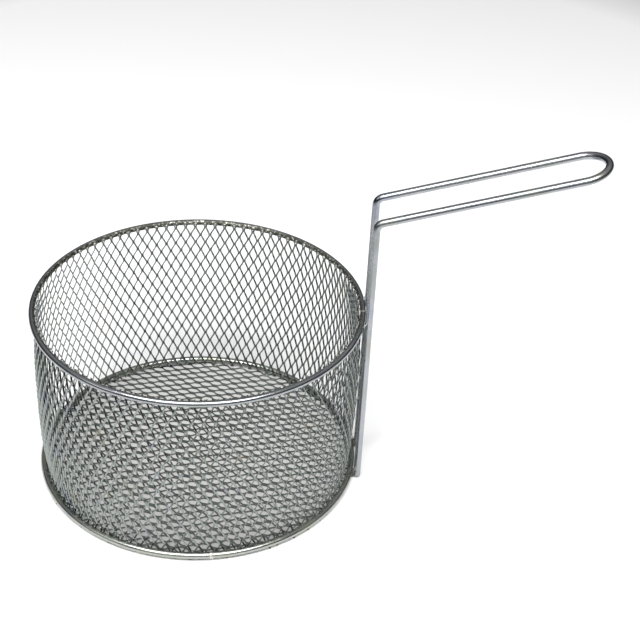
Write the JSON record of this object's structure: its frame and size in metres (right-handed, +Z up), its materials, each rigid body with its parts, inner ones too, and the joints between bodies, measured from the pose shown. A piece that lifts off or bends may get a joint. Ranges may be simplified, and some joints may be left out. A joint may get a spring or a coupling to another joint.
{
  "type": "wire mesh basket",
  "caption": "Round expanded-metal basket with welded wire hoops and a long raised wire loop handle, for lifting food in and out of heat.",
  "frame": {"origin": "on the basket's axis, on the surface the basket stands on (the underside of the floor mesh)", "axes": "+Z up along the basket's axis, +X the way the handle points, +Y to the left of the handle seen from the basket"},
  "size_m": [0.4029, 0.245, 0.2746],
  "materials": {
    "wire": "bright zinc plate on drawn wire",
    "mesh": "bright zinc plate on expanded metal, slightly duller than the wire",
    "weld": "plated weld metal, dull and uneven"
  },
  "bodies": {
    "root": {"side_mesh": "mesh", "base_mesh": "mesh", "rim_ring": "wire", "rim_butt_weld": "weld", "base_ring": "wire", "base_butt_weld": "weld", "handle_wire": "wire", "leg_rim_welds": "weld", "leg_base_welds": "weld", "rim_spot_welds": "weld", "base_spot_welds": "weld", "floor_spot_welds": "weld", "seam_spot_welds": "weld"}
  },
  "joints": []
}
